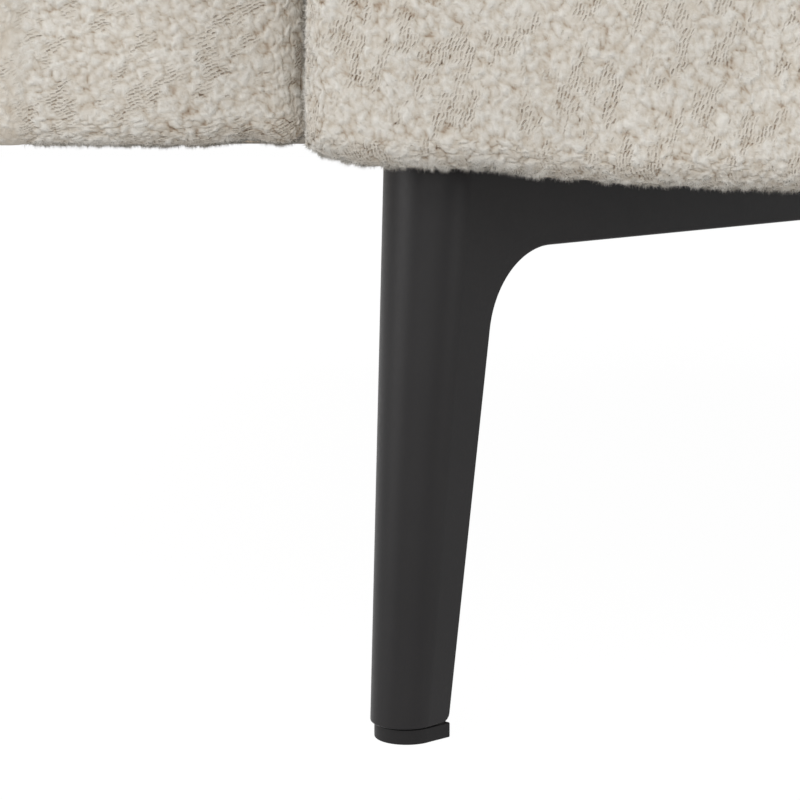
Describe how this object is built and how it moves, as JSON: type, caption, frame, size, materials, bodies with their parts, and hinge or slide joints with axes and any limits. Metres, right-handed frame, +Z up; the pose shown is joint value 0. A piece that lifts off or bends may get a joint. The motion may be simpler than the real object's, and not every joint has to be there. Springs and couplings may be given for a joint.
{
  "type": "tuxedo sofa",
  "caption": "Tuxedo sofa with arms level with its back, loose seat and back cushions, and round-nosed corner legs with diagonal wings.",
  "frame": {"origin": "on the floor, under the middle of the sofa", "axes": "+X along the sofa to its right arm seen from the front, -Y out of the front, +Z up"},
  "size_m": [2.14, 0.9, 0.74],
  "materials": {
    "boucle": "cream looped chenille, matt",
    "foam": "open-cell upholstery foam",
    "frame_wood": "sawn softwood, unfinished",
    "hardboard": "hardboard, smooth",
    "webbing": "woven elastic webbing",
    "deck_felt": "needled felt",
    "dust_cloth": "black non-woven cloth",
    "leg_metal": "cast, black satin powder coat",
    "tube_steel": "black powder coat",
    "glide_plastic": "moulded, fine matt",
    "screw_steel": "bright zinc"
  },
  "bodies": {
    "frame": {"front_rail": "frame_wood", "back_rail": "frame_wood", "left_end_rail": "frame_wood", "right_end_rail": "frame_wood", "seat_back_rail": "frame_wood", "centre_rail": "frame_wood", "corner_boards": "frame_wood", "deck_webbing_long": "webbing", "deck_webbing_cross": "webbing", "deck_pad": "deck_felt", "deck_cloth": "deck_felt", "front_border_foam": "foam", "front_border_cover": "boucle", "dust_cloth": "dust_cloth", "leg_front_left": "leg_metal", "leg_front_right": "leg_metal", "leg_rear_left": "leg_metal", "leg_rear_right": "leg_metal", "glide_front_left": "glide_plastic", "glide_front_right": "glide_plastic", "glide_rear_left": "glide_plastic", "glide_rear_right": "glide_plastic", "leg_screws": "screw_steel", "centre_leg": "tube_steel", "centre_leg_screws": "screw_steel", "arm_left_boards": "frame_wood", "arm_left_posts": "frame_wood", "arm_left_inner_panel": "hardboard", "arm_left_outer_panel": "hardboard", "arm_left_foam": "foam", "arm_left_cover": "boucle", "arm_right_boards": "frame_wood", "arm_right_posts": "frame_wood", "arm_right_inner_panel": "hardboard", "arm_right_outer_panel": "hardboard", "arm_right_foam": "foam", "arm_right_cover": "boucle", "arm_bolts": "screw_steel", "back_boards": "frame_wood", "back_posts": "frame_wood", "back_webbing": "webbing", "back_panel": "hardboard", "back_foam": "foam", "back_cover": "boucle"},
    "levelling_pad": {"levelling_pad": "glide_plastic"},
    "levelling_screw": {"levelling_screw": "screw_steel"},
    "seat_cushion_left": {"seat_cushion_left_cover": "boucle", "seat_cushion_left_core": "foam"},
    "seat_cushion_right": {"seat_cushion_right_cover": "boucle", "seat_cushion_right_core": "foam"},
    "back_cushion_left": {"back_cushion_left_cover": "boucle", "back_cushion_left_core": "foam"},
    "back_cushion_right": {"back_cushion_right_cover": "boucle", "back_cushion_right_core": "foam"}
  },
  "joints": [
    {"name": "levelling_pad_height", "type": "slide", "parent": "frame", "child": "levelling_pad", "axis": [0, 0, 1], "range_m": [-0.012, 0.01]},
    {"name": "levelling_screw_turn", "type": "hinge", "parent": "levelling_pad", "child": "levelling_screw", "pos_m": [0, 0, 0.03], "axis": [0, 0, 1], "range_deg": [-3460, 2885]},
    {"name": "seat_cushion_left_lift", "type": "slide", "parent": "frame", "child": "seat_cushion_left", "axis": [0, 0, 1], "range_m": [0, 0.3]},
    {"name": "seat_cushion_right_lift", "type": "slide", "parent": "frame", "child": "seat_cushion_right", "axis": [0, 0, 1], "range_m": [0, 0.3]},
    {"name": "back_cushion_left_lift", "type": "slide", "parent": "seat_cushion_left", "child": "back_cushion_left", "axis": [0, 0, 1], "range_m": [0, 0.3]},
    {"name": "back_cushion_right_lift", "type": "slide", "parent": "seat_cushion_right", "child": "back_cushion_right", "axis": [0, 0, 1], "range_m": [0, 0.3]}
  ],
  "couplings": [
    {"joint": "levelling_screw_turn", "follows": "levelling_pad_height", "rad_per_m": 5026.5}
  ]
}
